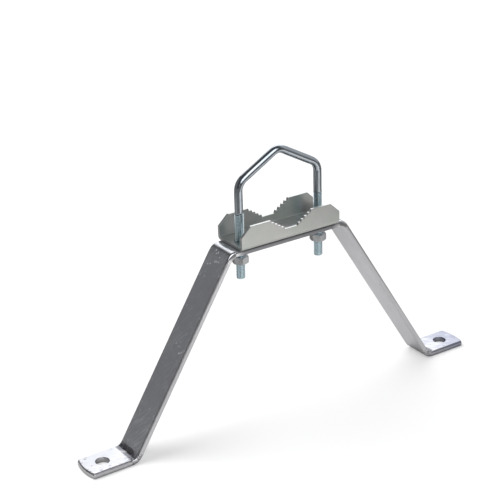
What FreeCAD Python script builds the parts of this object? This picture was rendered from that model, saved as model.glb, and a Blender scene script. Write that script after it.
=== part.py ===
import FreeCAD, Part
import math
import os

# Mast stand-off bracket: a bent flat-bar strap that bolts to a wall, a toothed saddle on its
# top, and a pentagonal U-bolt with two nuts that clamps a mast across the strap.
# Frame: X along the strap, Y along the mast, Z out from the wall. The feet's undersides are
# at Z = 0 and the origin is midway between them. All lengths are in millimetres.

Vector = FreeCAD.Vector
X_AXIS = Vector(1, 0, 0)
Y_AXIS = Vector(0, 1, 0)
Z_AXIS = Vector(0, 0, 1)

# Strap: 30 x 5 flat bar with four bends
STRAP_WIDTH = 30.0
STRAP_THICKNESS = 5.0
STRAP_LENGTH = 409.0          # over the rounded tips of the feet
STANDOFF = 168.0              # wall to the strap's top face
TOP_CORNER_X = 60.0           # where the top face and a leg's outer face would meet sharply
FOOT_CORNER_X = 161.5         # where a leg's outer face and a foot's upper face would meet
STRAP_BEND_RADIUS = 5.0       # inside of each bend
STRAP_EDGE_RADIUS = 1.0       # the rolled bar's long edges
FOOT_TIP_BULGE = 2.5          # how far the middle of a foot's end stands past its corners
FOOT_CORNER_RADIUS = 2.0
FOOT_HOLE_X = 186.0
FOOT_HOLE_DIAMETER = 12.0

# Saddle: pressed channel, open side away from the wall
SHEET = 2.5
SADDLE_LENGTH = 102.0
SADDLE_WIDTH = 37.0
SADDLE_HEIGHT = 21.0          # flange tips above the strap
SADDLE_BEND_RADIUS = 1.0      # inside of the two long bends
FLANGE_CHAMFER_X = 9.6        # cut off each flange's upper corners
FLANGE_CHAMFER_Z = 8.9
NOTCH_TOP_HALF = 20.9         # half of the mast notch's mouth
NOTCH_FLOOR_HALF = 6.7        # half of the notch's flat floor
NOTCH_DEPTH = 11.2
NOTCH_TEETH = 5               # on each slope
TOOTH_HEIGHT = 1.7

# U-bolt: M8 rolled thread on both legs
LEG_X = 41.0                  # legs' half spacing
SHANK_RADIUS = 3.6
THREAD_RADIUS = 4.0
LEG_END_Z = 135.0
THREAD_TOP_Z = 196.0
SHOULDER_Z = 221.7            # where a leg's and a roof bar's centre lines would meet
APEX_Z = 244.9                # where the two roof bars' centre lines would meet
SHOULDER_BEND_RADIUS = 12.0   # on the centre line
APEX_BEND_RADIUS = 10.0
LEG_TIP_CHAMFER = 1.0
THREAD_SHOULDER = THREAD_RADIUS - SHANK_RADIUS   # 45 degree step down to the shank

# Nuts: M8 hexagon nuts, spun part-way up the legs
NUT_ACROSS_FLATS = 13.0
NUT_HEIGHT = 6.5
NUT_TOP_GAP = 6.8             # nut's upper face below the strap
NUT_CHAMFER_ANGLE = 30.0
NUT_BORE_RADIUS = 4.05        # running clearance on the thread's crests
NUT_COUNTERSINK = 0.5
NUT_FACE_INSET = 0.1          # between the round bearing face's rim and the flats
NUT_TURN = {"nut_left": 15.0, "nut_right": 18.0}   # degrees of a corner from +X

CLEARANCE_HOLE_DIAMETER = 9.0   # in the strap and the saddle, for the M8 legs
SIDES = (-1, 1)
OVERRUN = 1.0                   # how far a cutting tool runs past the metal
TOLERANCE = 0.01                # for recognising an edge by its place


def rounded_outline(corners, radii):
    """Closed wire through the corners, each rounded with a tangent arc of its own radius."""
    count = len(corners)
    starts, ends, middles = [], [], []
    for i, corner in enumerate(corners):
        back = (corners[i - 1] - corner).normalize()
        ahead = (corners[(i + 1) % count] - corner).normalize()
        half_angle = back.getAngle(ahead) / 2.0
        reach = radii[i] / math.tan(half_angle)
        bisector = (back + ahead).normalize()
        to_arc = radii[i] / math.sin(half_angle) - radii[i]
        starts.append(corner + back * reach)
        ends.append(corner + ahead * reach)
        middles.append(corner + bisector * to_arc)
    edges = []
    for i in range(count):
        if radii[i] > 0:
            edges.append(Part.Arc(starts[i], middles[i], ends[i]).toShape())
        edges.append(Part.LineSegment(ends[i], starts[(i + 1) % count]).toShape())
    return Part.Wire(edges)


def slab(corners, radii, direction):
    """Solid made by pushing a rounded outline along a direction."""
    return Part.Face(rounded_outline(corners, radii)).extrude(direction)


def drill(shape, x, diameter, z_low, z_high):
    """The shape with a vertical hole through it at (x, 0)."""
    bit = Part.makeCylinder(diameter / 2.0, z_high - z_low, Vector(x, 0, z_low))
    return shape.cut(bit)


def strap_side_outline():
    """Corners and radii of the strap's side view, in the plane Y = 0."""
    top, foot = STANDOFF, STRAP_THICKNESS
    leg_angle = math.atan2(top - foot, FOOT_CORNER_X - TOP_CORNER_X)
    shift = STRAP_THICKNESS * math.tan(leg_angle / 2.0)
    tip = STRAP_LENGTH / 2.0
    inside = STRAP_BEND_RADIUS
    outside = STRAP_BEND_RADIUS + STRAP_THICKNESS
    right_half = [
        (TOP_CORNER_X, top, outside),
        (FOOT_CORNER_X, foot, inside),
        (tip, foot, 0.0),
        (tip, 0.0, 0.0),
        (FOOT_CORNER_X - shift, 0.0, outside),
        (TOP_CORNER_X - shift, top - STRAP_THICKNESS, inside),
    ]
    left_half = [(-x, z, radius) for x, z, radius in reversed(right_half)]
    outline = right_half + left_half
    corners = [Vector(x, 0, z) for x, z, _ in outline]
    return corners, [radius for _, _, radius in outline]


def foot_end_cutter(side):
    """What lies beyond a foot's bowed end, to cut it from the bar."""
    half = STRAP_WIDTH / 2.0
    tip = side * STRAP_LENGTH / 2.0
    corner_x = tip - side * FOOT_TIP_BULGE
    outer_x = tip + side * FOOT_TIP_BULGE
    low = -OVERRUN
    near, middle, far = Vector(corner_x, -half, low), Vector(tip, 0, low), Vector(corner_x, half, low)
    far_out, near_out = Vector(outer_x, half, low), Vector(outer_x, -half, low)
    wire = Part.Wire([
        Part.Arc(near, middle, far).toShape(),
        Part.LineSegment(far, far_out).toShape(),
        Part.LineSegment(far_out, near_out).toShape(),
        Part.LineSegment(near_out, near).toShape(),
    ])
    return Part.Face(wire).extrude(Z_AXIS * (STRAP_THICKNESS + 2.0 * OVERRUN))


def foot_corner_edges(shape):
    """The four short upright edges at the corners of the feet."""
    corner_x = STRAP_LENGTH / 2.0 - FOOT_TIP_BULGE
    found = []
    for edge in shape.Edges:
        box = edge.BoundBox
        thin = box.XLength < TOLERANCE and box.YLength < TOLERANCE
        upright = thin and box.ZLength > STRAP_THICKNESS / 2.0
        if upright and abs(abs(box.Center.x) - corner_x) < TOLERANCE:
            found.append(edge)
    return found


def long_side_edges(shape):
    """The edges that run round the strap's side faces, Y = +-half width."""
    half = STRAP_WIDTH / 2.0
    found = []
    for edge in shape.Edges:
        box = edge.BoundBox
        on_side = box.YLength < TOLERANCE and abs(abs(box.Center.y) - half) < TOLERANCE
        upright = box.XLength < TOLERANCE and box.ZLength > STRAP_THICKNESS / 2.0
        if on_side and not upright:
            found.append(edge)
    return found


def make_strap():
    corners, radii = strap_side_outline()
    bar = slab(corners, radii, Y_AXIS * STRAP_WIDTH)
    bar.translate(-Y_AXIS * (STRAP_WIDTH / 2.0))
    for side in SIDES:
        bar = bar.cut(foot_end_cutter(side))
    bar = bar.makeFillet(FOOT_CORNER_RADIUS, foot_corner_edges(bar))
    bar = bar.makeFillet(STRAP_EDGE_RADIUS, long_side_edges(bar))
    for side in SIDES:
        bar = drill(bar, side * FOOT_HOLE_X, FOOT_HOLE_DIAMETER,
                    -OVERRUN, STRAP_THICKNESS + OVERRUN)
        bar = drill(bar, side * LEG_X, CLEARANCE_HOLE_DIAMETER,
                    STANDOFF - STRAP_THICKNESS - OVERRUN, STANDOFF + OVERRUN)
    return bar


def notch_slope():
    """Points up the right slope of the notch: a root, a tip, a root, ... and the last tip."""
    floor_z = STANDOFF + SADDLE_HEIGHT - NOTCH_DEPTH
    root = Vector(NOTCH_FLOOR_HALF, 0, floor_z)
    top = Vector(NOTCH_TOP_HALF, 0, STANDOFF + SADDLE_HEIGHT)
    span = top - root
    along_length = math.sqrt(span.Length ** 2 - TOOTH_HEIGHT ** 2)
    slope = math.atan2(span.z, span.x) - math.asin(TOOTH_HEIGHT / span.Length)
    along = Vector(math.cos(slope), 0, math.sin(slope))
    out = Vector(-math.sin(slope), 0, math.cos(slope))
    pitch = along_length / (NOTCH_TEETH - 0.5)
    points = []
    for k in range(NOTCH_TEETH):
        points.append(root + along * (pitch * k))
        points.append(root + along * (pitch * (k + 0.5)) + out * TOOTH_HEIGHT)
    return points


def saddle_front_outline():
    """Corners of a flange seen along Y: clipped upper corners and the toothed notch."""
    end = SADDLE_LENGTH / 2.0
    low, top = STANDOFF, STANDOFF + SADDLE_HEIGHT
    right = [Vector(end, 0, low), Vector(end, 0, top - FLANGE_CHAMFER_Z),
             Vector(end - FLANGE_CHAMFER_X, 0, top)]
    right += reversed(notch_slope())
    left = [Vector(-p.x, 0, p.z) for p in reversed(right)]
    return right + left


def saddle_section():
    """Corners and radii of the channel's cross-section, in the plane X = 0."""
    half = SADDLE_WIDTH / 2.0
    low, top = STANDOFF, STANDOFF + SADDLE_HEIGHT
    inside, outside = SADDLE_BEND_RADIUS, SADDLE_BEND_RADIUS + SHEET
    right_half = [(half, low, outside), (half, top, 0.0), (half - SHEET, top, 0.0),
                  (half - SHEET, low + SHEET, inside)]
    left_half = [(-y, z, radius) for y, z, radius in reversed(right_half)]
    outline = right_half + left_half
    return [Vector(0, y, z) for y, z, _ in outline], [radius for _, _, radius in outline]


def make_saddle():
    corners, radii = saddle_section()
    channel = slab(corners, radii, X_AXIS * SADDLE_LENGTH)
    channel.translate(-X_AXIS * (SADDLE_LENGTH / 2.0))
    front = saddle_front_outline()
    blank = slab(front, [0.0] * len(front), Y_AXIS * (SADDLE_WIDTH + 2.0 * OVERRUN))
    blank.translate(-Y_AXIS * (SADDLE_WIDTH / 2.0 + OVERRUN))
    saddle = channel.common(blank)
    for side in SIDES:
        saddle = drill(saddle, side * LEG_X, CLEARANCE_HOLE_DIAMETER,
                       STANDOFF - OVERRUN, STANDOFF + SHEET + OVERRUN)
    return saddle


def rod_path():
    """The bent rod's centre line above the threads: a leg, two roof bars and a leg."""
    half = [Vector(LEG_X, 0, THREAD_TOP_Z), Vector(LEG_X, 0, SHOULDER_Z)]
    apex = Vector(0, 0, APEX_Z)
    points = half + [apex] + [Vector(-p.x, 0, p.z) for p in reversed(half)]
    bends = [SHOULDER_BEND_RADIUS, APEX_BEND_RADIUS, SHOULDER_BEND_RADIUS]
    edges = []
    run_start = points[0]
    for i, radius in enumerate(bends, start=1):
        back = (points[i - 1] - points[i]).normalize()
        ahead = (points[i + 1] - points[i]).normalize()
        half_angle = back.getAngle(ahead) / 2.0
        reach = radius / math.tan(half_angle)
        to_arc = radius / math.sin(half_angle) - radius
        arc_start, arc_end = points[i] + back * reach, points[i] + ahead * reach
        arc_middle = points[i] + (back + ahead).normalize() * to_arc
        edges.append(Part.LineSegment(run_start, arc_start).toShape())
        edges.append(Part.Arc(arc_start, arc_middle, arc_end).toShape())
        run_start = arc_end
    edges.append(Part.LineSegment(run_start, points[-1]).toShape())
    return Part.Wire(edges)


def threaded_leg(side):
    """A leg's threaded length, at the thread's outside diameter, with a chamfered tip."""
    x = side * LEG_X
    profile = [
        (0.0, LEG_END_Z),
        (THREAD_RADIUS - LEG_TIP_CHAMFER, LEG_END_Z),
        (THREAD_RADIUS, LEG_END_Z + LEG_TIP_CHAMFER),
        (THREAD_RADIUS, THREAD_TOP_Z - THREAD_SHOULDER),
        (SHANK_RADIUS, THREAD_TOP_Z),
        (0.0, THREAD_TOP_Z),
        (0.0, LEG_END_Z),
    ]
    outline = Part.makePolygon([Vector(x + r, 0, z) for r, z in profile])
    return Part.Face(outline).revolve(Vector(x, 0, 0), Z_AXIS, 360.0)


def make_u_bolt():
    path = rod_path()
    section = Part.Wire(Part.makeCircle(SHANK_RADIUS, Vector(LEG_X, 0, THREAD_TOP_Z), Z_AXIS))
    rod = path.makePipeShell([section], True, False)
    for side in SIDES:
        rod = rod.fuse(threaded_leg(side))
    return rod.removeSplitter()


def make_nut(x, turn):
    """Hexagon nut on a leg: both faces chamfered, and the bore countersunk at both ends."""
    top = STANDOFF - STRAP_THICKNESS - NUT_TOP_GAP
    low = top - NUT_HEIGHT
    corner_radius = NUT_ACROSS_FLATS / 2.0 / math.cos(math.radians(30.0))
    angles = [math.radians(turn + 60.0 * k) for k in range(7)]
    ring = [Vector(x + corner_radius * math.cos(a), corner_radius * math.sin(a), low) for a in angles]
    hexagon = Part.Face(Part.makePolygon(ring)).extrude(Z_AXIS * NUT_HEIGHT)

    face_radius = NUT_ACROSS_FLATS / 2.0 - NUT_FACE_INSET
    drop = (corner_radius - face_radius) * math.tan(math.radians(NUT_CHAMFER_ANGLE))
    bore_mouth = NUT_BORE_RADIUS + NUT_COUNTERSINK
    profile = [
        (bore_mouth, low),
        (face_radius, low),
        (corner_radius, low + drop),
        (corner_radius, top - drop),
        (face_radius, top),
        (bore_mouth, top),
        (NUT_BORE_RADIUS, top - NUT_COUNTERSINK),
        (NUT_BORE_RADIUS, low + NUT_COUNTERSINK),
        (bore_mouth, low),
    ]
    outline = Part.makePolygon([Vector(x + r, 0, z) for r, z in profile])
    turned = Part.Face(outline).revolve(Vector(x, 0, 0), Z_AXIS, 360.0)
    return hexagon.common(turned)


def write(name, shape):
    solids = shape.Solids
    if len(solids) != 1 or not shape.isValid():
        raise RuntimeError("%s: %d solids, valid: %s" % (name, len(solids), shape.isValid()))
    solids[0].exportStep(os.path.join("parts", name + ".step"))
    box = solids[0].BoundBox
    print("%-10s volume %9.1f mm3  box %s" % (name, solids[0].Volume, box))


os.makedirs("parts", exist_ok=True)
write("strap", make_strap())
write("saddle", make_saddle())
write("u_bolt", make_u_bolt())
for nut_side, nut_name in zip(SIDES, ("nut_left", "nut_right")):
    write(nut_name, make_nut(nut_side * LEG_X, NUT_TURN[nut_name]))
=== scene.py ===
import math

import bmesh
import bpy
from mathutils import Matrix, Vector
from mathutils.geometry import delaunay_2d_cdt


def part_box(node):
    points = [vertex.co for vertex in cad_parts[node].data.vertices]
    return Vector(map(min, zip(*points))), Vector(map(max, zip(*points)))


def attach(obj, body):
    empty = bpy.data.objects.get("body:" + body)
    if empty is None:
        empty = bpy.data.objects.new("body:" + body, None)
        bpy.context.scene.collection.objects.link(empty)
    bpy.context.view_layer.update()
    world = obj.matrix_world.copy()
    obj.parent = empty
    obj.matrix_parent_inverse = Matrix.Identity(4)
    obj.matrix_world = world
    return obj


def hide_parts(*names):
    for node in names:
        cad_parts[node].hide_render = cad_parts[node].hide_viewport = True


# Looks of the mast stand-off bracket: a bent flat bar, a toothed saddle, a U-bolt and two nuts.
# Every piece is a new mesh that stands for one CAD node and rides on that node's body.
# Lengths are in metres, in the CAD's frame: X along the strap, Y along the mast, Z off the wall.

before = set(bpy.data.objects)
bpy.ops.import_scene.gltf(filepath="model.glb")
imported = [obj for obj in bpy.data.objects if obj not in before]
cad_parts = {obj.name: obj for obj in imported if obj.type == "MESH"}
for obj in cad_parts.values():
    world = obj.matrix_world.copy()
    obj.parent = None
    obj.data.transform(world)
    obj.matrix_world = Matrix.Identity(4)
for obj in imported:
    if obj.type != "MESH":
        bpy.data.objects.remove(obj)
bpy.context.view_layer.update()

MM = 0.001
Y_AXIS = Vector((0, 1, 0))
SIDES = (-1, 1)

# ---------------------------------------------------------------- sizes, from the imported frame
strap_low, strap_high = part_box("strap")
saddle_low, saddle_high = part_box("saddle")
bolt_low, bolt_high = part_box("u_bolt")
nut_boxes = {name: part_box(name) for name in ("nut_left", "nut_right")}

STANDOFF = strap_high.z
THREAD_RADIUS = 4.0 * MM                      # M8
THREAD_PITCH = 1.25 * MM
LEG_X = bolt_high.x - THREAD_RADIUS
CLEARANCE_HOLE_RADIUS = 4.5 * MM

# Strap
STRAP_WIDTH = strap_high.y - strap_low.y
STRAP_TIP = strap_high.x
STRAP_THICKNESS = 5.0 * MM
TOP_CORNER_X = 60.0 * MM                      # where the top face and a leg's outer face meet
FOOT_CORNER_X = 161.5 * MM                    # where a leg's outer face and a foot's top meet
STRAP_BEND_RADIUS = 5.0 * MM                  # inside of each bend
STRAP_EDGE_RADII = (1.8 * MM, 0.9 * MM)       # at the outer face and at the inner face
HOLE_EDGE_RADII = (0.5 * MM, 0.25 * MM)       # rolled in by the punch, crisp where it came out
FOOT_TIP_BULGE = 2.5 * MM
FOOT_CORNER_RADIUS = 2.0 * MM
FOOT_HOLE_X = 186.0 * MM
FOOT_HOLE_RADIUS = 6.0 * MM
BEND_BULGE = 0.35 * MM                        # each side: out at a bend's inside, in at its outside
BEND_BULGE_FADE = 1.5 * MM                    # how far past a bend the bulge has died out
BEND_MARKS = 6.0 * MM                         # how far past a bend the plating is marked
STRAP_BEND_CUTS = 12

# Saddle
SHEET = 2.5 * MM
SADDLE_BEND_RADIUS = 1.0 * MM                 # inside
SADDLE_EDGE_RADII = (0.2 * MM, 0.2 * MM)
BLANKED_CORNER_RADIUS = 0.35 * MM             # at every corner of the saddle's outline
FLANGE_CHAMFER_X = 9.6 * MM
FLANGE_CHAMFER_Z = 8.9 * MM
NOTCH_TOP_HALF = 20.9 * MM
NOTCH_FLOOR_HALF = 6.7 * MM
NOTCH_DEPTH = 11.2 * MM
NOTCH_TEETH = 5
TOOTH_HEIGHT = 1.7 * MM
SADDLE_BEND_CUTS = 8

# U-bolt
SHANK_RADIUS = 3.6 * MM
THREAD_TOP_Z = 196.0 * MM
SHOULDER_Z = 221.7 * MM                       # on the centre line, before rounding
APEX_Z = 244.9 * MM
SHOULDER_BEND_RADIUS = 12.0 * MM
APEX_BEND_RADIUS = 10.0 * MM
LEG_TIP_CHAMFER = 1.0 * MM
THREAD_FADE = 1.6 * MM                        # length over which the thread dies out
BEND_FLATTENING = 0.04                        # how much thinner the rod is across a bend
FLATTENING_FADE = 3.0 * MM                    # how far past a bend that dies out
ROD_BEND_MARKS = 4.0 * MM                     # how far past a bend the plating is marked
ROD_COLUMNS = 48
ROD_BEND_STEPS = 16
ROD_STEP = 4.0 * MM                           # between rings of points on its straight runs

# One turn of thread: (part of the pitch, part of the depth), crest to crest
THREAD_DEPTH = 0.677 * MM
THREAD_FORM = ((0.0, 1.0), (0.125, 1.0), (0.4, 0.1), (0.5625, 0.0), (0.725, 0.1))
NUT_THREAD_GAP = 0.09 * MM

# Nuts
NUT_ACROSS_FLATS = 13.0 * MM
NUT_FACE_RADIUS = 6.4 * MM
NUT_CHAMFER_ANGLE = math.radians(30.0)
NUT_COUNTERSINK = 0.5 * MM
NUT_CORNER_RADIUS = 0.35 * MM
NUT_FACE_LAND = 0.25 * MM                     # softens the turned edge of a face
NUT_FACE_SOFTENING = 0.05 * MM
NUT_FLAT_STEPS = 8
NUT_TURN = {"nut_left": math.radians(15.0), "nut_right": math.radians(18.0)}

MERGE_DISTANCE = 0.5e-6
SHARP_ANGLE = math.radians(35.0)
FLAT_FACE_WEIGHT = 60                         # how strongly large faces keep their shading flat
INSIDE_ONLY = 1                               # delaunay_2d_cdt keeps what is inside the outline
SAME_POINT = 1e-9
EDGE_STEPS = 4                                # facets round each edge of a plate
SPARE_TURNS = 2                               # of thread, past both ends before it is pressed flat


# ---------------------------------------------------------------- mesh helpers
def new_mesh():
    """An empty bmesh with what the plating needs to know of each point: its place on the
    unfolded piece, whether it is on an exposed edge, and how near it is to a bend."""
    bm = bmesh.new()
    layers = bm.verts.layers
    return bm, layers.float_vector.new("flat"), layers.float.new("edge"), layers.float.new("bend")


def skin(bm, rings):
    """Faces between each closed ring of points and the next."""
    for first, second in zip(rings, rings[1:]):
        for i in range(len(first)):
            j = (i + 1) % len(first)
            bm.faces.new((first[i], first[j], second[j], second[i]))


def finish_mesh(name, bm):
    """Turns a bmesh into a smooth-shaded object whose large flat faces stay flat."""
    bmesh.ops.recalc_face_normals(bm, faces=bm.faces)
    if bm.calc_volume(signed=True) < 0.0:
        bmesh.ops.reverse_faces(bm, faces=bm.faces)
    for line in bm.edges:
        line.smooth = line.calc_face_angle(0.0) < SHARP_ANGLE
    mesh = bpy.data.meshes.new(name)
    bm.to_mesh(mesh)
    bm.free()
    mesh.shade_smooth()
    piece = bpy.data.objects.new(name, mesh)
    bpy.context.scene.collection.objects.link(piece)
    weighted = piece.modifiers.new("Flat faces stay flat", "WEIGHTED_NORMAL")
    weighted.mode = "FACE_AREA"
    weighted.weight = FLAT_FACE_WEIGHT
    weighted.keep_sharp = True
    return piece


def arc_points(centre, radius, start, end, steps):
    """Points along a circular arc in a plane, both ends included; angles in radians."""
    points = []
    for i in range(steps + 1):
        angle = start + (end - start) * i / steps
        points.append(Vector((centre[0] + radius * math.cos(angle),
                              centre[1] + radius * math.sin(angle))))
    return points


def hole_loop(centre_along, radius, steps=40):
    """A round hole's rim, clockwise, so that the metal is on its left."""
    return arc_points((centre_along, 0.0), radius, 2.0 * math.pi, 0.0, steps)[:-1]


def rounded_corner(before, corner, after, radius, steps=5):
    """Points of the arc that rounds a corner of an outline."""
    back, ahead = (before - corner).normalized(), (after - corner).normalized()
    half_angle = back.angle(ahead) / 2.0
    reach = radius / math.tan(half_angle)
    centre = corner + (back + ahead).normalized() * (radius / math.sin(half_angle))
    start, end = corner + back * reach - centre, corner + ahead * reach - centre
    points = []
    for i in range(steps + 1):
        part = i / steps
        spoke = start * (1.0 - part) + end * part
        points.append(centre + spoke.normalized() * radius)
    return points


def inset(loop, distance):
    """The closed loop moved to its left by a distance, with mitred corners."""
    count = len(loop)
    moved = []
    for i in range(count):
        before = (loop[i] - loop[i - 1]).normalized()
        after = (loop[(i + 1) % count] - loop[i]).normalized()
        left_before = Vector((-before.y, before.x))
        left_after = Vector((-after.y, after.x))
        mitre = left_before + left_after
        moved.append(loop[i] + mitre * (2.0 * distance / mitre.length_squared))
    return moved


def signed_area(loop):
    """Positive for a counter-clockwise loop."""
    total = 0.0
    for a, b in zip(loop, loop[1:] + loop[:1]):
        total += a.cross(b)
    return total / 2.0


class FoldLine:
    """A centre line in one plane: straight runs joined by arcs. Its points and its left-hand
    normals are found from the distance along it."""

    def __init__(self, corners, radii):
        self.runs = []                      # (start distance, length, start point, heading, turn)
        self.length = 0.0
        position = corners[0]
        for i in range(1, len(corners)):
            ahead = (corners[i] - corners[i - 1]).normalized()
            heading = math.atan2(ahead.y, ahead.x)
            if i < len(corners) - 1:
                after = (corners[i + 1] - corners[i]).normalized()
                turn = math.atan2(ahead.cross(after), ahead.dot(after))
                radius = radii[i - 1]
                reach = radius * abs(math.tan(turn / 2.0))
                start = corners[i] - ahead * reach
                self.add_run(position, (start - position).length, heading, 0.0)
                self.add_run(start, radius * abs(turn), heading, turn)
                position = corners[i] + after * reach
            else:
                self.add_run(position, (corners[i] - position).length, heading, 0.0)

    def add_run(self, start, length, heading, turn):
        self.runs.append((self.length, length, start, heading, turn))
        self.length += length

    def at(self, distance):
        """Point, heading angle and signed curvature at a distance along the line."""
        for begin, length, start, heading, turn in self.runs:
            if distance <= begin + length or (begin, length) == self.runs[-1][:2]:
                along = distance - begin
                if turn == 0.0:
                    step = Vector((math.cos(heading), math.sin(heading))) * along
                    return start + step, heading, 0.0
                curvature = turn / length
                angle = heading + curvature * along
                step = Vector((math.sin(angle) - math.sin(heading),
                               math.cos(heading) - math.cos(angle))) / curvature
                return start + step, angle, curvature

    def bends(self):
        """(start, end) distances of the arcs."""
        return [(begin, begin + length) for begin, length, _, _, turn in self.runs if turn]


def bend_weight(line, distance, spread):
    """1 inside a bend, falling to 0 over a distance on either side."""
    weight = 0.0
    for begin, end in line.bends():
        outside = max(begin - distance, distance - end, 0.0)
        weight = max(weight, 1.0 - outside / spread)
    return max(weight, 0.0)


def edge_levels(thickness, upper_radius, lower_radius, steps):
    """(distance in from the outline, height, whether on a flat face) down a rounded edge."""
    levels = []
    for sign, radius in ((1.0, upper_radius), (-1.0, lower_radius)):
        half = []
        for i in range(steps + 1):
            angle = math.pi / 2.0 * i / steps
            half.append((radius * (1.0 - math.sin(angle)),
                         sign * (thickness / 2.0 - radius * (1.0 - math.cos(angle))), i == 0))
        levels += half if sign > 0.0 else reversed(half)
    return levels


def bent_plate(name, loops, thickness, edge_radii, line, place, cuts, bulge=0.0, fades=()):
    """A sheet-metal piece: a flat blank with rounded edges, then folded along a line.
    loops are its outline (counter-clockwise) and holes (clockwise), in (along, across);
    place(point on the line's plane, across) gives a point of the object; cuts is the number
    of strips in each bend; bulge is the part by which a bend is wider at its inside; fades
    are the distances from a bend where extra cuts let its bulge and marks die out."""
    bm, flat, edge, bend = new_mesh()
    rim_levels = edge_levels(thickness, *edge_radii, steps=EDGE_STEPS)
    hole_levels = edge_levels(thickness, *HOLE_EDGE_RADII, steps=EDGE_STEPS)

    top_rings, bottom_rings = [], []
    for number, loop in enumerate(loops):
        rings = []
        for distance, height, on_face in hole_levels if number else rim_levels:
            ring = [bm.verts.new((p.x, p.y, height)) for p in inset(loop, distance)]
            for vert in ring:
                vert[edge] = 0.0 if on_face else 1.0
            rings.append(ring)
        skin(bm, rings)
        top_rings.append(rings[0])
        bottom_rings.append(rings[-1])

    for rings in (top_rings, bottom_rings):
        verts, edges, ring_of = [], [], []
        for number, ring in enumerate(rings):
            start, count = len(verts), len(ring)
            edges += [(start + i, start + (i + 1) % count) for i in range(count)]
            verts += ring
            ring_of += [number] * count
        points = [Vector((v.co.x, v.co.y)) for v in verts]
        _, _, faces, origins, _, _ = delaunay_2d_cdt(points, edges, [], INSIDE_ONLY, SAME_POINT)
        for face in faces:
            corners = [origins[i][0] for i in face]
            rings_met = {ring_of[i] for i in corners}
            if len(rings_met) > 1 or 0 in rings_met:         # a hole's own triangles are left out
                bm.faces.new([verts[i] for i in corners])

    for begin, end in line.bends():
        places = [begin + (end - begin) * i / cuts for i in range(cuts + 1)]
        for fade in fades:
            places += [begin - fade, end + fade]
        for where in places:
            geometry = bm.verts[:] + bm.edges[:] + bm.faces[:]
            bmesh.ops.bisect_plane(bm, geom=geometry, dist=MERGE_DISTANCE,
                                   plane_co=(where, 0, 0), plane_no=(1, 0, 0))

    for vert in bm.verts:
        along, across, height = vert.co
        point, angle, curvature = line.at(along)
        vert[flat] = (along, across, height)
        vert[bend] = bend_weight(line, along, BEND_MARKS)
        inner = math.copysign(1.0, curvature) * height / (thickness / 2.0) if curvature else 0.0
        across *= 1.0 + bulge * inner
        normal = Vector((-math.sin(angle), math.cos(angle)))
        vert.co = place(point + normal * height, across)
    return finish_mesh(name, bm)


def threaded_wall(bm, place, angles, low, high, radius_at):
    """A screw surface whose rows climb with the helix. Rows past either end are pressed flat
    on it, where they merge. place(radius, angle, z) gives a vertex; radius_at(the bolt's
    thread radius, z) gives the radius to use there."""
    per_turn = len(THREAD_FORM)
    first_turn = math.floor(low / THREAD_PITCH) - SPARE_TURNS
    turns = math.ceil((high - low) / THREAD_PITCH) + 2 * SPARE_TURNS + 1
    columns = []
    for angle in angles:
        column = []
        for k in range(turns * per_turn):
            part, height = THREAD_FORM[k % per_turn]
            z = THREAD_PITCH * (first_turn + k // per_turn + part + angle / (2.0 * math.pi))
            z = min(max(z, low), high)
            radius = THREAD_RADIUS - THREAD_DEPTH * (1.0 - height)
            column.append(place(radius_at(radius, z), angle, z))
        columns.append(column)
    rows = turns * per_turn
    for j, column in enumerate(columns):
        seam = j == len(columns) - 1
        beside = columns[0] if seam else columns[j + 1]
        lift = per_turn if seam else 0
        for k in range(rows - 1 - lift):
            bm.faces.new((column[k], beside[k + lift], beside[k + 1 + lift], column[k + 1]))


def close_mesh(bm):
    """Merges the doubled vertices and drops whatever has no area left."""
    bmesh.ops.remove_doubles(bm, verts=bm.verts, dist=MERGE_DISTANCE)
    bmesh.ops.dissolve_degenerate(bm, dist=MERGE_DISTANCE / 2.0, edges=bm.edges)


# ---------------------------------------------------------------- pieces
def strap_line():
    """The bar's fold line in the plane Y = 0, from the left foot's tip to the right's."""
    half = STRAP_THICKNESS / 2.0
    leg_angle = math.atan2(STANDOFF - STRAP_THICKNESS, FOOT_CORNER_X - TOP_CORNER_X)
    shift = half * math.tan(leg_angle / 2.0)
    right = [Vector((TOP_CORNER_X - shift, STANDOFF - half)),
             Vector((FOOT_CORNER_X - shift, half)), Vector((STRAP_TIP, half))]
    left = [Vector((-p.x, p.y)) for p in reversed(right)]
    return FoldLine(left + right, [STRAP_BEND_RADIUS + half] * 4)


def make_strap():
    """The flat bar, blanked, punched and folded at four places."""
    line = strap_line()
    middle, half_width = line.length / 2.0, STRAP_WIDTH / 2.0
    bow_radius = (half_width ** 2 + FOOT_TIP_BULGE ** 2) / (2.0 * FOOT_TIP_BULGE)
    bow_angle = math.asin(half_width / bow_radius)
    tip_arc = arc_points((line.length - bow_radius, 0.0), bow_radius, -bow_angle, bow_angle,
                         steps=12)
    near_side, far_side = Vector((middle, -half_width)), Vector((middle, half_width))
    right_end = (rounded_corner(near_side, tip_arc[0], tip_arc[1], FOOT_CORNER_RADIUS)
                 + tip_arc[2:-2]
                 + rounded_corner(tip_arc[-2], tip_arc[-1], far_side, FOOT_CORNER_RADIUS))
    left_end = [Vector((line.length - p.x, -p.y)) for p in right_end]
    hole_inset = STRAP_TIP - FOOT_HOLE_X
    loops = [right_end + left_end,
             hole_loop(hole_inset, FOOT_HOLE_RADIUS),
             hole_loop(line.length - hole_inset, FOOT_HOLE_RADIUS),
             hole_loop(middle - LEG_X, CLEARANCE_HOLE_RADIUS),
             hole_loop(middle + LEG_X, CLEARANCE_HOLE_RADIUS)]

    def place(point, across):
        return Vector((point.x, across, point.y))

    return bent_plate("strap_bar", loops, STRAP_THICKNESS, STRAP_EDGE_RADII, line, place,
                      cuts=STRAP_BEND_CUTS, bulge=BEND_BULGE / half_width,
                      fades=(BEND_BULGE_FADE, BEND_MARKS))


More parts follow.
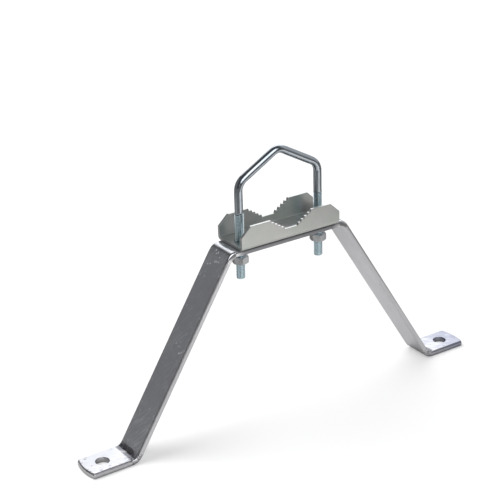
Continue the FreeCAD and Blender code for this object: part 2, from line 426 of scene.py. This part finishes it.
def notch_slope(top_z):
    """(x, z) points up the right slope of the mast notch, from its floor to the last tip."""
    root = Vector((NOTCH_FLOOR_HALF, top_z - NOTCH_DEPTH))
    span = Vector((NOTCH_TOP_HALF, top_z)) - root
    slope = math.atan2(span.y, span.x) - math.asin(TOOTH_HEIGHT / span.length)
    along = Vector((math.cos(slope), math.sin(slope)))
    out = Vector((-along.y, along.x))
    pitch = math.sqrt(span.length ** 2 - TOOTH_HEIGHT ** 2) / (NOTCH_TEETH - 0.5)
    points = []
    for k in range(NOTCH_TEETH):
        points.append(root + along * (pitch * k))
        points.append(root + along * (pitch * (k + 0.5)) + out * TOOTH_HEIGHT)
    return points


def make_saddle():
    """The pressed channel: a toothed blank with both long sides folded up."""
    half = saddle_high.y - SHEET / 2.0
    low, top = saddle_low.z + SHEET / 2.0, saddle_high.z
    corners = [Vector((-half, top)), Vector((-half, low)), Vector((half, low)), Vector((half, top))]
    line = FoldLine(corners, [SADDLE_BEND_RADIUS + SHEET / 2.0] * 2)
    end = saddle_high.x

    right = [Vector((end - FLANGE_CHAMFER_X, top))] + list(reversed(notch_slope(top)))
    profile = right + [Vector((-p.x, p.y)) for p in reversed(right)]
    edge_points = [Vector((end, top - FLANGE_CHAMFER_Z))] + profile
    edge_points.append(Vector((-end, top - FLANGE_CHAMFER_Z)))
    near = [Vector((top - p.y, p.x)) for p in edge_points]
    far = [Vector((line.length - p.x, -p.y)) for p in near]
    outline = near + far
    if signed_area(outline) < 0.0:
        outline.reverse()
    count = len(outline)
    blank = []
    for i in range(count):
        blank += rounded_corner(outline[i - 1], outline[i], outline[(i + 1) % count],
                                BLANKED_CORNER_RADIUS, steps=3)
    loops = [blank]
    for side in SIDES:
        rim = hole_loop(line.length / 2.0, CLEARANCE_HOLE_RADIUS)
        loops.append([Vector((p.x, p.y + side * LEG_X)) for p in rim])

    def place(point, across):
        return Vector((across, point.x, point.y))

    return bent_plate("saddle_channel", loops, SHEET, SADDLE_EDGE_RADII, line, place,
                      cuts=SADDLE_BEND_CUTS)


def make_u_bolt():
    """The bent rod with a rolled thread on both legs."""
    bm, flat, edge, bend = new_mesh()
    points = [Vector((-LEG_X, THREAD_TOP_Z)), Vector((-LEG_X, SHOULDER_Z)), Vector((0.0, APEX_Z)),
              Vector((LEG_X, SHOULDER_Z)), Vector((LEG_X, THREAD_TOP_Z))]
    radii = [SHOULDER_BEND_RADIUS, APEX_BEND_RADIUS, SHOULDER_BEND_RADIUS]
    line = FoldLine(points, radii)
    angles = [2.0 * math.pi * j / ROD_COLUMNS for j in range(ROD_COLUMNS)]

    stations = []
    for begin, length, _, _, turn in line.runs:
        steps = ROD_BEND_STEPS if turn else max(2, round(length / ROD_STEP))
        stations += [begin + length * i / steps for i in range(steps)]
    stations.append(line.length)
    rings = []
    for distance in stations:
        point, angle, _ = line.at(distance)
        side_way = Vector((math.sin(angle), 0, -math.cos(angle)))
        squash = 1.0 - BEND_FLATTENING * bend_weight(line, distance, FLATTENING_FADE)
        ring = []
        for around in angles:
            across = SHANK_RADIUS * math.cos(around) * squash
            vert = bm.verts.new(Vector((point.x, 0, point.y)) + side_way * across
                                + Y_AXIS * (SHANK_RADIUS * math.sin(around) / squash))
            vert[flat] = (distance, across, SHANK_RADIUS * math.sin(around))
            vert[bend] = bend_weight(line, distance, ROD_BEND_MARKS)
            ring.append(vert)
        rings.append(ring)
    skin(bm, rings)

    end_radius = THREAD_RADIUS - LEG_TIP_CHAMFER
    for side in SIDES:
        def place(radius, angle, z):
            vert = bm.verts.new((side * LEG_X + radius * math.cos(angle),
                                 radius * math.sin(angle), z))
            vert[flat] = (z - THREAD_TOP_Z, radius * math.cos(angle), radius * math.sin(angle))
            # Thread crests count as exposed edges, so they get the lighter edge colour, partly as a
            # painted sheen
            vert[edge] = max(0.0, (radius - THREAD_RADIUS) / THREAD_DEPTH + 1.0)
            return vert

        def radius_at(radius, z):
            fade = min(1.0, max(0.0, (THREAD_TOP_Z - z) / THREAD_FADE))
            radius = SHANK_RADIUS + (radius - SHANK_RADIUS) * fade
            return min(radius, end_radius + (z - bolt_low.z))

        threaded_wall(bm, place, angles, bolt_low.z, THREAD_TOP_Z, radius_at)
        cap = [place(end_radius, angle, bolt_low.z) for angle in reversed(angles)]
        bm.faces.new(cap)
    close_mesh(bm)
    return finish_mesh("u_bolt_rod", bm)


def hexagon_points(turn):
    """(x, y) points round a hexagon with slightly rounded corners, anticlockwise."""
    corner_radius = NUT_ACROSS_FLATS / 2.0 / math.cos(math.pi / 6.0)
    corners = []
    for k in range(6):
        angle = turn + math.pi / 3.0 * k
        corners.append(Vector((math.cos(angle), math.sin(angle))) * corner_radius)
    arcs = [rounded_corner(corners[k - 1], corners[k], corners[(k + 1) % 6], NUT_CORNER_RADIUS,
                           steps=4) for k in range(6)]
    points = []
    for arc, following in zip(arcs, arcs[1:] + arcs[:1]):
        points += arc
        for i in range(1, NUT_FLAT_STEPS):
            points.append(arc[-1].lerp(following[0], i / NUT_FLAT_STEPS))
    return points


def make_nut(node, side):
    """A hexagon nut with chamfered faces and a thread that matches its leg's."""
    low, high = nut_boxes[node][0].z, nut_boxes[node][1].z
    bm, flat, edge, _ = new_mesh()
    rim = hexagon_points(NUT_TURN[node])
    rim.sort(key=lambda p: math.atan2(p.y, p.x) % (2.0 * math.pi))
    angles = [math.atan2(p.y, p.x) % (2.0 * math.pi) for p in rim]
    mouth = THREAD_RADIUS + NUT_THREAD_GAP + NUT_COUNTERSINK

    def place(radius, angle, z, worn_and_sheen=0.0):
        vert = bm.verts.new((side * LEG_X + radius * math.cos(angle), radius * math.sin(angle), z))
        vert[flat] = (z, radius * math.cos(angle), radius * math.sin(angle))
        vert[edge] = worn_and_sheen
        return vert

    def drop(radius):
        return max(0.0, radius - NUT_FACE_RADIUS) * math.tan(NUT_CHAMFER_ANGLE)

    face_edge = NUT_FACE_RADIUS - NUT_FACE_LAND
    soft_high, soft_low = high - NUT_FACE_SOFTENING, low + NUT_FACE_SOFTENING
    rings = [[place(mouth, angle, high) for angle in angles],
             [place(face_edge, angle, high) for angle in angles],
             [place(NUT_FACE_RADIUS, angle, soft_high, 1.0) for angle in angles],
             [place(p.length, a, soft_high - drop(p.length), 1.0) for p, a in zip(rim, angles)],
             [place(p.length, a, soft_low + drop(p.length), 1.0) for p, a in zip(rim, angles)],
             [place(NUT_FACE_RADIUS, angle, soft_low, 1.0) for angle in angles],
             [place(face_edge, angle, low) for angle in angles],
             [place(mouth, angle, low) for angle in angles]]
    skin(bm, rings)

    def radius_at(radius, z):
        sink = min(z - low, high - z)
        return max(radius + NUT_THREAD_GAP, mouth - sink)

    threaded_wall(bm, place, angles, low, high, radius_at)
    close_mesh(bm)
    return finish_mesh(node + "_hexagon", bm)


# ---------------------------------------------------------------- materials
# Texture scales count features per metre of plate; three of them are along, across, through.
BLOTCHES = 38.0
HAZE = (160.0, 320.0, 320.0)
CRYSTALS = 900.0
WAVES = 190.0
CRACKS, CRACK_PATCHES = (420.0, 230.0, 230.0), 120.0
BRUSH_MARKS, BRUSHED_PATCHES = (650.0, 70.0, 70.0), 24.0
CREASE_SHADE_PATCHES = 75.0
PITS, PITTED_PATCHES = (150.0, 190.0, 190.0), 90.0
SCUFFS, SCUFFED_PATCHES = (90.0, 700.0, 700.0), 60.0
FLECKS, FLECKED_PATCHES = (250.0, 250.0, 250.0), 40.0
LENGTHWISE, CROSSWISE = (55.0, 900.0, 900.0), (900.0, 40.0, 900.0)   # way the sheet was rolled

GRAIN_DEPTH, WAVE_DEPTH = 0.01 * MM, 0.03 * MM
CRACK_DEPTH, PIT_DEPTH = 0.15 * MM, 0.06 * MM
BRUSHING_ANGLE = math.radians(-55.0)          # of the brush marks, from straight across the bar
BEND_POLISH = 0.6                             # roughness left where the bending tool has pressed

CRACK_TINT = (0.20, 0.20, 0.22)
BRUSHED_TINT = (0.97, 0.97, 1.0)
CREASE_SHADE_TINT = (0.13, 0.13, 0.15)               # painted shade in the creases of the foot bends
PIT_TINT = (0.30, 0.30, 0.36)
FLECK_TINT = (0.50, 0.51, 0.54)               # dull white zinc
UNDER_SADDLE_SHADE_TINT = (0.17, 0.175, 0.19)          # painted shade on the strap's edges under the saddle
CREVICE_SHADE_TINT = (0.03, 0.035, 0.045)           # painted shade in the joints and hollows between the pieces

# Distances along the strap from its tip or its middle
STRAP_REACH = strap_line().length
FOOT_BEND_ZONE = (80.0 * MM, 65.0 * MM)       # from the tip: cracks and the painted crease shade begin, are full
PITTED_ZONE = (40.0 * MM, 22.0 * MM)          # from the tip: the pits begin, are full
UNDER_SADDLE_SHADE_ZONE = (46.0 * MM, 53.0 * MM)       # from the middle: the painted shade fades, has ended
# Painted shade: the right foot mirrors less light than the left, so its colour is darker and bluer
RIGHT_FOOT_SHADE_ZONE = (STRAP_REACH - 52.0 * MM, STRAP_REACH - 10.0 * MM)   # from the left tip
RIGHT_FOOT_SHADE_TINT = (0.37, 0.39, 0.49)
UPPER_FACE = (0.5 * MM, 2.2 * MM)             # heights over the bar's middle plane
THREAD_ZONE = (0.0, -2.0 * MM)                # from the thread's upper end
# The threads' bluer tone, brightened as a painted sheen
THREAD_TINT_AND_SHEEN = (0.80, 0.93, 0.98)


class Nodes:
    """Short calls for building a node tree."""

    def __init__(self, tree):
        self.tree = tree

    def add(self, kind, **settings):
        node = self.tree.nodes.new(kind)
        for key, value in settings.items():
            setattr(node, key, value)
        return node

    def link(self, output, socket):
        self.tree.links.new(output, socket)

    def attribute(self, name):
        return self.add("ShaderNodeAttribute", attribute_name=name)

    def stretched(self, vector, scale):
        node = self.add("ShaderNodeMapping")
        node.inputs["Scale"].default_value = scale
        self.link(vector, node.inputs["Vector"])
        return node.outputs["Vector"]

    def turned(self, vector, angle):
        node = self.add("ShaderNodeMapping")
        node.inputs["Rotation"].default_value = (0.0, 0.0, angle)
        self.link(vector, node.inputs["Vector"])
        return node.outputs["Vector"]

    def noise(self, vector, scale, detail=4.0, roughness=0.55):
        node = self.add("ShaderNodeTexNoise")
        node.inputs["Scale"].default_value = scale
        node.inputs["Detail"].default_value = detail
        node.inputs["Roughness"].default_value = roughness
        self.link(vector, node.inputs["Vector"])
        return node.outputs["Fac"]

    def cells(self, vector, scale, feature="F1", output="Distance"):
        node = self.add("ShaderNodeTexVoronoi", feature=feature)
        node.inputs["Scale"].default_value = scale
        self.link(vector, node.inputs["Vector"])
        return node.outputs[output]

    def remap(self, value, from_low, from_high, to_low, to_high, shape="LINEAR"):
        """Values between two bounds carried over to lie between two others, and held there."""
        node = self.add("ShaderNodeMapRange", interpolation_type=shape)
        for socket, number in (("From Min", from_low), ("From Max", from_high),
                               ("To Min", to_low), ("To Max", to_high)):
            node.inputs[socket].default_value = number
        self.link(value, node.inputs["Value"])
        return node.outputs["Result"]

    def rise(self, value, begins, full, most=1.0):
        """0 until a value begins to count, rising to the most where it counts in full."""
        return self.remap(value, begins, full, 0.0, most)

    def math(self, operation, first, second):
        node = self.add("ShaderNodeMath", operation=operation)
        for socket, value in zip(node.inputs, (first, second)):
            if isinstance(value, (int, float)):
                socket.default_value = value
            else:
                self.link(value, socket)
        return node.outputs[0]

    def product(self, first, *others):
        for other in others:
            first = self.math("MULTIPLY", first, other)
        return first

    def opposite(self, value):
        return self.math("SUBTRACT", 1.0, value)

    def mix(self, factor, first, second):
        node = self.add("ShaderNodeMix", data_type="RGBA")
        self.link(factor, node.inputs[0])
        for socket, value in ((node.inputs[6], first), (node.inputs[7], second)):
            if isinstance(value, tuple):
                socket.default_value = value + (1.0,)
            else:
                self.link(value, socket)
        return node.outputs[2]

    def bump(self, height, strength, distance, below=None):
        node = self.add("ShaderNodeBump")
        node.inputs["Strength"].default_value = strength
        node.inputs["Distance"].default_value = distance
        self.link(height, node.inputs["Height"])
        if below is not None:
            self.link(below, node.inputs["Normal"])
        return node.outputs["Normal"]


class Surface(Nodes):
    """A new material's node tree."""

    def __init__(self, name):
        self.material = bpy.data.materials.new(name)
        self.material.use_nodes = True
        super().__init__(self.material.node_tree)
        self.shader = self.tree.nodes["Principled BSDF"]


class Zinc(Surface):
    """Zinc plating. Each method lays one kind of mark over its colour, roughness and bumps."""

    def __init__(self, name, tints, worn_and_sheen, gloss, streaks, rolled):
        """tints are the plating's two clouds of colour, worn_and_sheen is the colour of abraded
        metal, laid on exposed edges and thread crests as wear and also as a painted sheen;
        gloss is the (smoothest, roughest) finish; streaks is how strong the rolling marks are
        and rolled is their texture scale."""
        super().__init__(name)
        self.worn_and_sheen = worn_and_sheen
        self.shader.inputs["Metallic"].default_value = 1.0
        self.flat = self.attribute("flat").outputs["Vector"]
        self.edge = self.attribute("edge").outputs["Fac"]
        self.bent = self.attribute("bend").outputs["Fac"]
        split = self.add("ShaderNodeSeparateXYZ")
        self.link(self.flat, split.inputs[0])
        self.along, self.height = split.outputs["X"], split.outputs["Z"]

        blotches = self.rise(self.noise(self.flat, BLOTCHES, 3.0), 0.35, 0.68)
        grain = self.noise(self.stretched(self.flat, rolled), 1.0, 5.0, 0.6)
        haze = self.noise(self.stretched(self.flat, HAZE), 1.0, 4.0)
        crystals = self.product(self.cells(self.flat, CRYSTALS, output="Color"), 0.05)
        dimmer = tuple(0.88 * c for c in tints[0])
        brighter = tuple(min(1.0, 1.2 * c) for c in tints[0])
        clouded = self.mix(blotches, *tints)
        grained = self.mix(self.rise(grain, 0.3, 0.7, 0.25), clouded, dimmer)
        spangled = self.mix(crystals, grained, brighter)
        # Exposed edges and thread crests take a lighter metal colour: partly wear, partly a painted
        # sheen
        edge_wear_and_sheen = self.product(self.edge, self.remap(haze, 0.3, 0.7, 0.15, 0.75))
        self.colour = self.mix(edge_wear_and_sheen, spangled, worn_and_sheen)

        uneven = self.math("ADD", self.product(haze, 0.6), self.product(grain, 0.4))
        self.rough = self.remap(uneven, 0.32, 0.68, *gloss)
        self.normal = self.bump(grain, streaks, GRAIN_DEPTH)
        self.normal = self.bump(self.noise(self.flat, WAVES, 2.0), 0.22, WAVE_DEPTH, self.normal)

    def colour_over(self, mask, tint):
        self.colour = self.mix(mask, self.colour, tint)

    def roughen(self, mask, amount):
        self.rough = self.math("ADD", self.rough, self.product(mask, amount))

    def shift(self, zone, tint):
        """Another tint over the part of the piece that lies past a zone along it."""
        self.colour_over(self.rise(self.along, *zone, 0.9), tint)

    def craze(self, amount, near_feet=1.0):
        """Bends polished by the tool, with fine cracks in patches of the stretched plating.
        near_feet is a mask that holds the cracks to part of the piece."""
        self.rough = self.product(self.rough, self.remap(self.bent, 0.0, 1.0, 1.0, BEND_POLISH))
        gaps = self.cells(self.stretched(self.flat, CRACKS), 1.0, "DISTANCE_TO_EDGE")
        lines = self.remap(gaps, 0.02, 0.12, 1.0, 0.0)
        patches = self.rise(self.noise(self.flat, CRACK_PATCHES, 2.0), 0.46, 0.56, amount)
        cracks = self.product(lines, patches, self.bent, near_feet)
        self.colour_over(cracks, CRACK_TINT)
        self.roughen(cracks, 0.2)
        self.normal = self.bump(cracks, 0.9, -CRACK_DEPTH, self.normal)

    def brush(self, upper_face):
        """Slanting bright marks in patches."""
        slanted = self.stretched(self.turned(self.flat, BRUSHING_ANGLE), BRUSH_MARKS)
        marks = self.rise(self.noise(slanted, 1.0, 3.0), 0.48, 0.66)
        patches = self.rise(self.noise(self.flat, BRUSHED_PATCHES, 2.0), 0.42, 0.60, 0.7)
        self.colour_over(self.product(marks, patches, upper_face), BRUSHED_TINT)

    def paint_crease_shade(self, near_feet, upper_face):
        """Painted shade in the crease of a foot's bend, where the concave metal mirrors dark
        surroundings.
        """
        crease = self.product(self.rise(self.bent, 0.55, 0.80), near_feet, upper_face)
        patches = self.remap(self.noise(self.flat, CREASE_SHADE_PATCHES, 1.0), 0.40, 0.52, 0.2, 0.85)
        self.colour_over(self.product(patches, crease), CREASE_SHADE_TINT)

    def pit(self, zone):
        """Small pits near the ends of the feet."""
        spots = self.remap(self.cells(self.stretched(self.flat, PITS), 1.0), 0.12, 0.28, 1.0, 0.0)
        patches = self.rise(self.noise(self.flat, PITTED_PATCHES, 1.0), 0.46, 0.56, 0.7)
        pits = self.product(spots, patches, zone)
        self.colour_over(pits, PIT_TINT)
        self.normal = self.bump(pits, 0.6, -PIT_DEPTH, self.normal)

    def scuff(self):
        """Short lengthwise rubs."""
        rubs = self.noise(self.stretched(self.flat, SCUFFS), 1.0, 3.0, 0.7)
        patches = self.rise(self.noise(self.flat, SCUFFED_PATCHES, 2.0), 0.50, 0.60)
        scuffs = self.product(self.rise(rubs, 0.60, 0.70), patches)
        self.roughen(scuffs, 0.26)
        self.colour_over(self.product(scuffs, 0.6), self.worn_and_sheen)

    def fleck(self, upper_face):
        """Dull white specks, where the plating is no longer bare metal."""
        spots = self.remap(self.cells(self.stretched(self.flat, FLECKS), 1.0), 0.12, 0.20, 1.0, 0.0)
        patches = self.remap(self.noise(self.flat, FLECKED_PATCHES, 2.0), 0.48, 0.58, 0.12, 0.42)
        flecks = self.product(spots, patches, upper_face)
        self.colour_over(flecks, FLECK_TINT)
        self.link(self.opposite(flecks), self.shader.inputs["Metallic"])

    def paint_joint_shade(self, width, openness):
        """Painted shade where another surface is close: within a width, unless it's open enough."""
        around = self.add("ShaderNodeAmbientOcclusion", samples=8)
        around.inputs["Distance"].default_value = width
        self.colour_over(self.remap(around.outputs["AO"], 0.15, openness, 0.90, 0.0), CREVICE_SHADE_TINT)

    def finished(self):
        self.link(self.colour, self.shader.inputs["Base Color"])
        self.link(self.rough, self.shader.inputs["Roughness"])
        self.link(self.normal, self.shader.inputs["Normal"])
        return self.material


def strap_zinc():
    zinc = Zinc("zinc_strap", ((0.68, 0.69, 0.73), (0.74, 0.75, 0.80)), worn_and_sheen=(0.76, 0.76, 0.79),
                gloss=(0.26, 0.39), streaks=0.35, rolled=LENGTHWISE)
    half = STRAP_REACH / 2.0
    from_middle = zinc.math("ABSOLUTE", zinc.math("SUBTRACT", zinc.along, half), 0.0)
    near_feet = zinc.remap(from_middle, half - FOOT_BEND_ZONE[0], half - FOOT_BEND_ZONE[1], 0.1, 1.0)
    near_tips = zinc.rise(from_middle, half - PITTED_ZONE[0], half - PITTED_ZONE[1])
    upper_face = zinc.product(zinc.rise(zinc.height, *UPPER_FACE), zinc.opposite(zinc.edge))
    under_saddle_shade = zinc.product(zinc.edge, zinc.remap(from_middle, *UNDER_SADDLE_SHADE_ZONE, 0.75, 0.0))
    # Painted shade: the right foot's colour is darker and bluer
    zinc.shift(RIGHT_FOOT_SHADE_ZONE, RIGHT_FOOT_SHADE_TINT)
    zinc.craze(1.0, near_feet)
    zinc.brush(upper_face)
    # Painted shade in the creases of the foot bends
    zinc.paint_crease_shade(near_feet, upper_face)
    zinc.pit(near_tips)
    zinc.scuff()
    zinc.fleck(upper_face)
    # Painted shade on the strap's edges under the saddle
    zinc.colour_over(under_saddle_shade, UNDER_SADDLE_SHADE_TINT)
    zinc.paint_joint_shade(6.0 * MM, 0.9)
    return zinc.finished()


def saddle_zinc():
    zinc = Zinc("zinc_saddle", ((0.61, 0.65, 0.62), (0.70, 0.68, 0.69)), worn_and_sheen=(0.84, 0.85, 0.85),
                gloss=(0.32, 0.36), streaks=0.2, rolled=CROSSWISE)
    zinc.paint_joint_shade(3.0 * MM, 0.6)
    return zinc.finished()


def rod_zinc():
    zinc = Zinc("zinc_rod", ((0.52, 0.58, 0.65), (0.62, 0.67, 0.73)), worn_and_sheen=(0.84, 0.95, 1.0),
                gloss=(0.12, 0.22), streaks=0.25, rolled=LENGTHWISE)
    # Threads: their own bluer tone, brightened as a painted sheen
    zinc.shift(THREAD_ZONE, THREAD_TINT_AND_SHEEN)
    zinc.craze(0.3)
    return zinc.finished()


def nut_zinc():
    zinc = Zinc("zinc_nut", ((0.52, 0.54, 0.57), (0.60, 0.62, 0.65)), worn_and_sheen=(0.80, 0.81, 0.83),
                gloss=(0.22, 0.36), streaks=0.25, rolled=LENGTHWISE)
    zinc.paint_joint_shade(2.0 * MM, 0.5)
    return zinc.finished()


# ---------------------------------------------------------------- build and dress the pieces
strap_bar = make_strap()
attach(strap_bar, "bracket")
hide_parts("strap")

saddle_channel = make_saddle()
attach(saddle_channel, "saddle_plate")
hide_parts("saddle")

u_bolt_rod = make_u_bolt()
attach(u_bolt_rod, "clamp_bolt")
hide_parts("u_bolt")

left_hexagon = make_nut("nut_left", -1)
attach(left_hexagon, "left_nut")
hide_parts("nut_left")

right_hexagon = make_nut("nut_right", 1)
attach(right_hexagon, "right_nut")
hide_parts("nut_right")

nut_plating = nut_zinc()
for piece, plating in ((strap_bar, strap_zinc()), (saddle_channel, saddle_zinc()),
                       (u_bolt_rod, rod_zinc()), (left_hexagon, nut_plating),
                       (right_hexagon, nut_plating)):
    piece.data.materials.append(plating)


# ---------------------------------------------------------------- floor, light and camera
SKY_TINT = (0.985, 0.99, 1.0)
SKY_BASE = 0.075
# The sky's soft lights: (direction, cosine at the edge, cosine at the core, strength)
SKY_LIGHTS = (((0.46, 0.75, 0.48), 0.84, 0.96, 1.42),
              ((-0.12, -0.77, 0.62), 0.86, 0.96, 1.8),
              ((0.95, 0.05, 0.25), 0.60, 0.92, 0.40),
              ((-0.70, 0.70, 0.15), 0.70, 0.92, 0.13))

FLOOR_SIZE = 30.0
FLOOR_DROP = 0.1 * MM                         # below the feet, so that they don't coincide
FLOOR_COLOUR = (0.56, 0.56, 0.56)
FLOOR_GLOW = 0.40                             # light from the paper itself, so shadows stay pale
FLOOR_ROUGHNESS = 0.9

# The floor as the metal mirrors it: a dim base with pools of light on it
MIRRORED_TINT = (1.0, 0.985, 0.955)
MIRRORED_BASE = 0.14
# (x, y, inner radius, outer radius, glow)
FLOOR_POOLS = ((0.08, -0.11, 0.20, 0.48, 0.38),
               (0.12, -0.46, 0.05, 0.30, 0.56),
               (0.30, 0.42, 0.05, 0.35, 0.07),
               (-0.36, 0.10, 0.10, 0.36, 0.18))

DAYLIGHT_STRENGTH = 3.0
DAYLIGHT_SPREAD = math.radians(50.0)          # a wide source, for soft shadows
DAYLIGHT_WAY = Vector((0.50, -0.45, -1.0))

CAMERA_AZIMUTH, CAMERA_ELEVATION, CAMERA_ROLL = (math.radians(a) for a in (-33.161, 23.772, -1.649))
CAMERA_DISTANCE = 1.29338
CAMERA_AIM_HEIGHT = 80.0 * MM
CAMERA_OFFSET = (-27.742 * MM, 64.205 * MM)   # of the picture's middle, rightwards and upwards
SENSOR_WIDTH, LENS_LENGTH = 36.0, 104.843     # in millimetres, as the camera wants them


def make_floor():
    """A wide pale floor. In the metal it shows as pools of light with darker surroundings."""
    mesh = bpy.data.meshes.new("floor")
    half = FLOOR_SIZE / 2.0
    corners = [(-half, -half, 0), (half, -half, 0), (half, half, 0), (-half, half, 0)]
    mesh.from_pydata(corners, [], [(0, 1, 2, 3)])
    floor = bpy.data.objects.new("floor", mesh)
    floor.location.z = -FLOOR_DROP
    bpy.context.scene.collection.objects.link(floor)
    n = Surface("floor_paper")
    place = n.add("ShaderNodeTexCoord").outputs["Object"]
    glow = MIRRORED_BASE
    for x, y, inner, outer, strength in FLOOR_POOLS:
        apart = n.add("ShaderNodeVectorMath", operation="DISTANCE")
        n.link(place, apart.inputs[0])
        apart.inputs[1].default_value = (x, y, 0.0)
        pool = n.remap(apart.outputs["Value"], inner, outer, strength, 0.0, "SMOOTHSTEP")
        glow = n.math("ADD", pool, glow)
    in_a_mirror = n.add("ShaderNodeLightPath").outputs["Is Glossy Ray"]
    mirrored = n.mix(glow, (0.0, 0.0, 0.0), MIRRORED_TINT)
    n.link(n.mix(in_a_mirror, FLOOR_COLOUR, mirrored), n.shader.inputs["Base Color"])
    n.shader.inputs["Emission Color"].default_value = (1.0, 1.0, 1.0, 1.0)
    n.link(n.product(n.opposite(in_a_mirror), FLOOR_GLOW), n.shader.inputs["Emission Strength"])
    n.shader.inputs["Roughness"].default_value = FLOOR_ROUGHNESS
    n.shader.inputs["Specular IOR Level"].default_value = 0.0
    mesh.materials.append(n.material)


def light_world():
    """A soft sky: dim all round, with a few wide lights that the metal mirrors. The camera
    itself sees it plain white."""
    world = bpy.data.worlds.new("studio")
    bpy.context.scene.world = world
    world.use_nodes = True
    n = Nodes(world.node_tree)
    direction = n.add("ShaderNodeTexCoord").outputs["Generated"]
    brightness = SKY_BASE
    for aim, edge, core, strength in SKY_LIGHTS:
        facing = n.add("ShaderNodeVectorMath", operation="DOT_PRODUCT")
        n.link(direction, facing.inputs[0])
        facing.inputs[1].default_value = Vector(aim).normalized()
        lit = n.remap(facing.outputs["Value"], edge, core, 0.0, strength, "SMOOTHSTEP")
        brightness = n.math("ADD", lit, brightness)
    seen = n.add("ShaderNodeMix", data_type="FLOAT")
    n.link(n.add("ShaderNodeLightPath").outputs["Is Camera Ray"], seen.inputs[0])
    n.link(brightness, seen.inputs[2])
    seen.inputs[3].default_value = 1.0
    background = n.tree.nodes["Background"]
    n.link(seen.outputs[0], background.inputs["Strength"])
    background.inputs["Color"].default_value = SKY_TINT + (1.0,)


def add_daylight():
    """Even light from above, the left and behind, with soft shadows, not mirrored in the metal."""
    data = bpy.data.lights.new("daylight", "SUN")
    data.energy = DAYLIGHT_STRENGTH
    data.angle = DAYLIGHT_SPREAD
    light = bpy.data.objects.new("daylight", data)
    light.rotation_euler = DAYLIGHT_WAY.to_track_quat("-Z", "Y").to_euler()
    light.visible_glossy = False
    bpy.context.scene.collection.objects.link(light)


def place_camera():
    """Looks from the front left and a little above, with a long lens."""
    level = Vector((math.cos(CAMERA_AZIMUTH), math.sin(CAMERA_AZIMUTH), 0.0))
    forward = Vector((-level.y, level.x, 0.0))
    back = Vector((0, 0, math.sin(CAMERA_ELEVATION))) - forward * math.cos(CAMERA_ELEVATION)
    upright = back.cross(level)
    right = level * math.cos(CAMERA_ROLL) + upright * math.sin(CAMERA_ROLL)
    up = upright * math.cos(CAMERA_ROLL) - level * math.sin(CAMERA_ROLL)
    aim = Vector((0, 0, CAMERA_AIM_HEIGHT)) + right * CAMERA_OFFSET[0] + up * CAMERA_OFFSET[1]
    data = bpy.data.cameras.new("camera")
    data.sensor_width = SENSOR_WIDTH
    data.lens = LENS_LENGTH
    camera = bpy.data.objects.new("camera", data)
    turn = Matrix((right, up, back)).transposed().to_4x4()
    camera.matrix_world = Matrix.Translation(aim + back * CAMERA_DISTANCE) @ turn
    bpy.context.scene.collection.objects.link(camera)
    bpy.context.scene.camera = camera


make_floor()
light_world()
add_daylight()
place_camera()
bpy.context.scene.view_settings.view_transform = "Standard"
